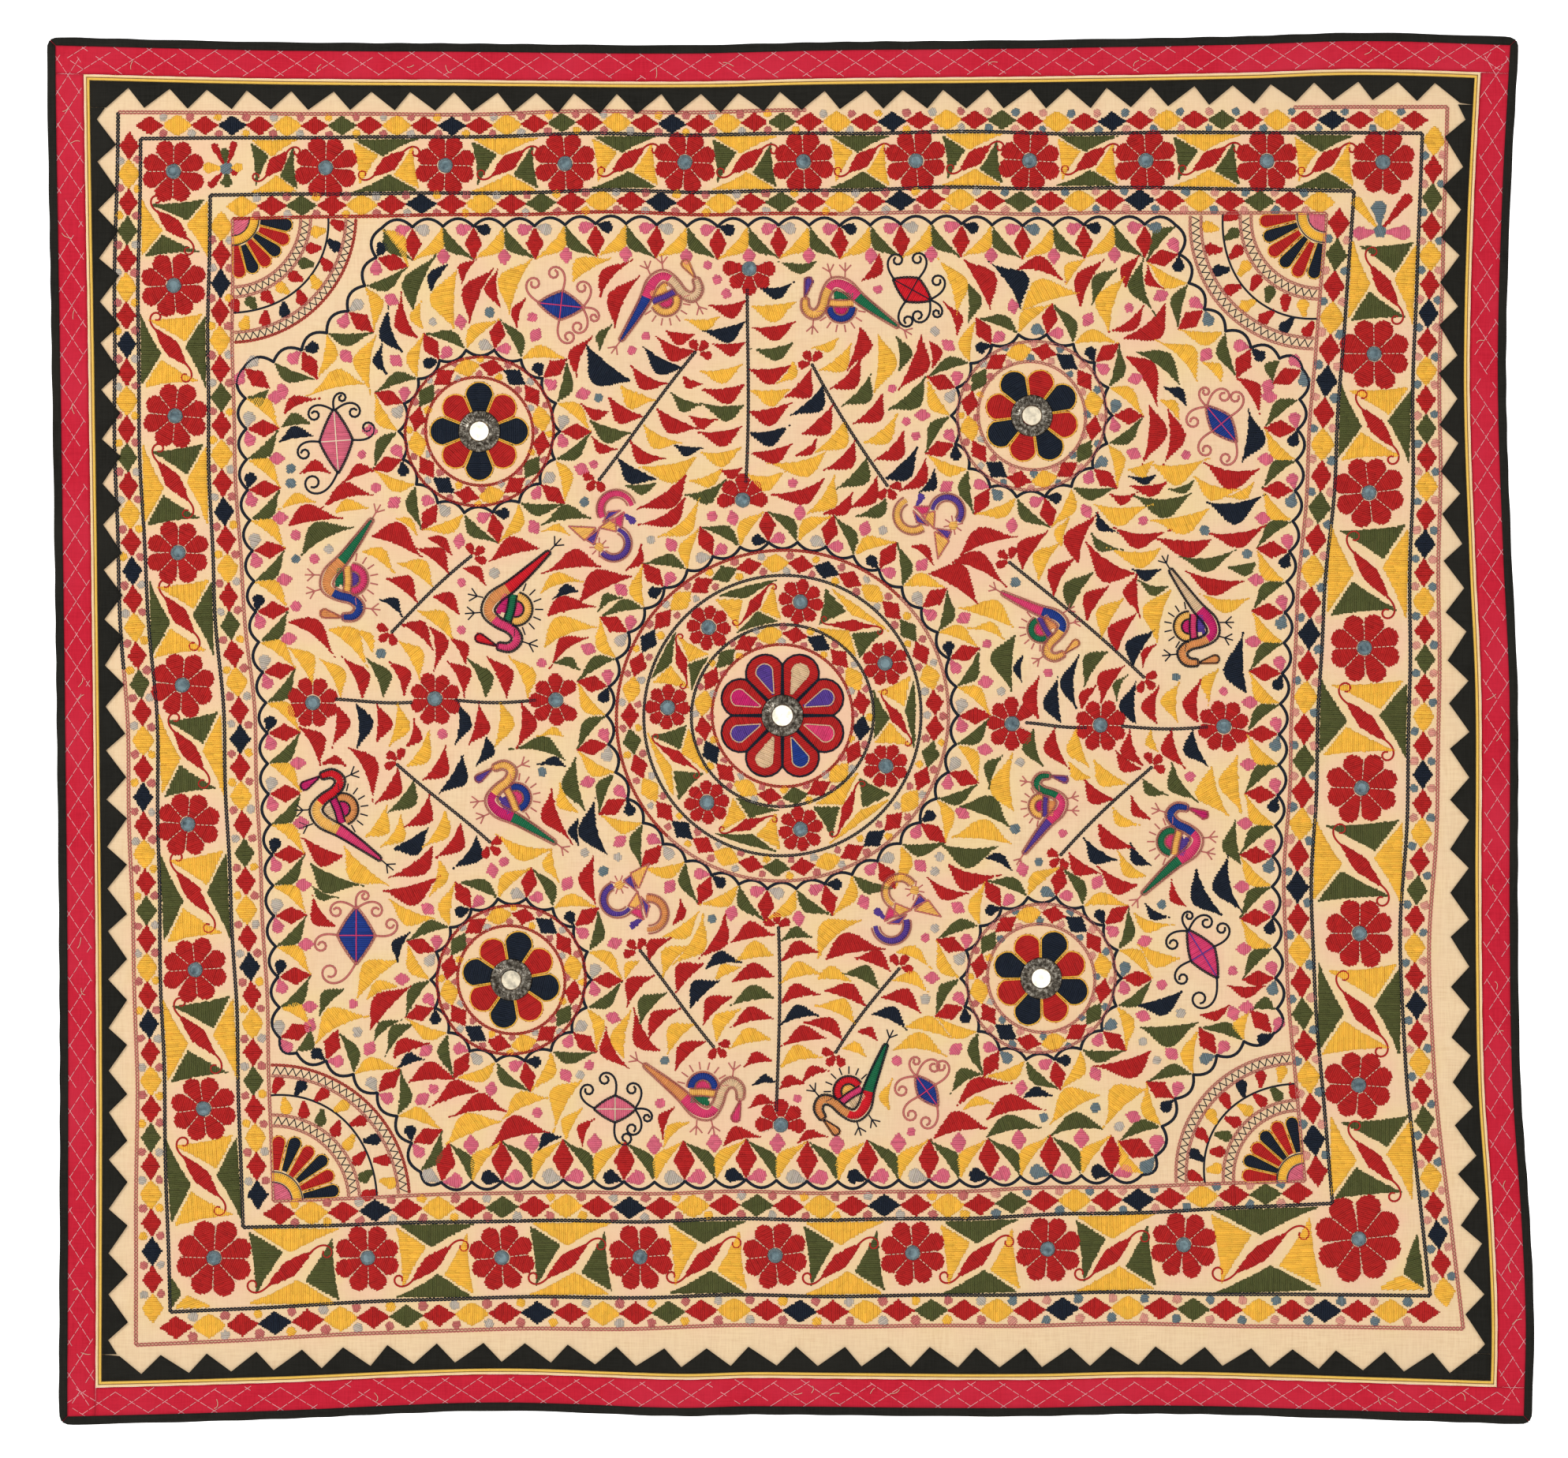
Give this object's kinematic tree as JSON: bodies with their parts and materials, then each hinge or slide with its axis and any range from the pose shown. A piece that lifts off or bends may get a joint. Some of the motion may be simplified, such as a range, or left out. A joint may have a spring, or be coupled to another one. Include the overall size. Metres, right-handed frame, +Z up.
{
  "type": "embroidered wall hanging",
  "caption": "Square embroidered cotton wall hanging with mirror-work flowers, medallions and birds inside a sawtooth border, double piping, quilted crimson band and black binding.",
  "frame": {"origin": "middle of the top edge, in the middle of the cloth's thickness", "axes": "+X to the right and +Z up as seen from the front, which faces -Y"},
  "size_m": [1.1312, 0.0129, 1.0582],
  "materials": {
    "cream_cotton": "cream cotton ground, dense embroidery in red, yellow, green and navy thread",
    "black_cotton": "plain black cotton",
    "crimson_cotton": "crimson cotton with a lattice of pale running stitches",
    "cream_piping": "folded cream cotton",
    "yellow_piping": "folded yellow cotton",
    "mirror_glass": "small blown-glass mirror, slightly uneven",
    "tarnished_metal": "tarnished silver-coloured metal",
    "embroidery_thread": "cotton embroidery thread in red, yellow, green, navy, pink and grey, laid in satin and chain stitch"
  },
  "bodies": {
    "root": {"ground_cloth": "cream_cotton", "sawtooth_top": "black_cotton", "sawtooth_right": "black_cotton", "sawtooth_bottom": "black_cotton", "sawtooth_left": "black_cotton", "band_top": "crimson_cotton", "band_right": "crimson_cotton", "band_bottom": "crimson_cotton", "band_left": "crimson_cotton", "binding_top": "black_cotton", "binding_right": "black_cotton", "binding_bottom": "black_cotton", "binding_left": "black_cotton", "piping_cream": "cream_piping", "piping_yellow": "yellow_piping", "mirror_centre": "mirror_glass", "mirror_upper_left": "mirror_glass", "mirror_upper_right": "mirror_glass", "mirror_lower_left": "mirror_glass", "mirror_lower_right": "mirror_glass", "rosette_centre": "tarnished_metal", "rosette_upper_left": "tarnished_metal", "rosette_upper_right": "tarnished_metal", "rosette_lower_left": "tarnished_metal", "rosette_lower_right": "tarnished_metal", "flower_mirror_01": "mirror_glass", "flower_mirror_02": "mirror_glass", "flower_mirror_03": "mirror_glass", "flower_mirror_04": "mirror_glass", "flower_mirror_05": "mirror_glass", "flower_mirror_06": "mirror_glass", "flower_mirror_07": "mirror_glass", "flower_mirror_08": "mirror_glass", "flower_mirror_09": "mirror_glass", "flower_mirror_10": "mirror_glass", "flower_mirror_11": "mirror_glass", "flower_mirror_12": "mirror_glass", "flower_mirror_13": "mirror_glass", "flower_mirror_14": "mirror_glass", "flower_mirror_15": "mirror_glass", "flower_mirror_16": "mirror_glass", "flower_mirror_17": "mirror_glass", "flower_mirror_18": "mirror_glass", "flower_mirror_19": "mirror_glass", "flower_mirror_20": "mirror_glass", "flower_mirror_21": "mirror_glass", "flower_mirror_22": "mirror_glass", "flower_mirror_23": "mirror_glass", "flower_mirror_24": "mirror_glass", "flower_mirror_25": "mirror_glass", "flower_mirror_26": "mirror_glass", "flower_mirror_27": "mirror_glass", "flower_mirror_28": "mirror_glass", "flower_mirror_29": "mirror_glass", "flower_mirror_30": "mirror_glass", "flower_mirror_31": "mirror_glass", "flower_mirror_32": "mirror_glass", "flower_mirror_33": "mirror_glass"}
  },
  "joints": []
}
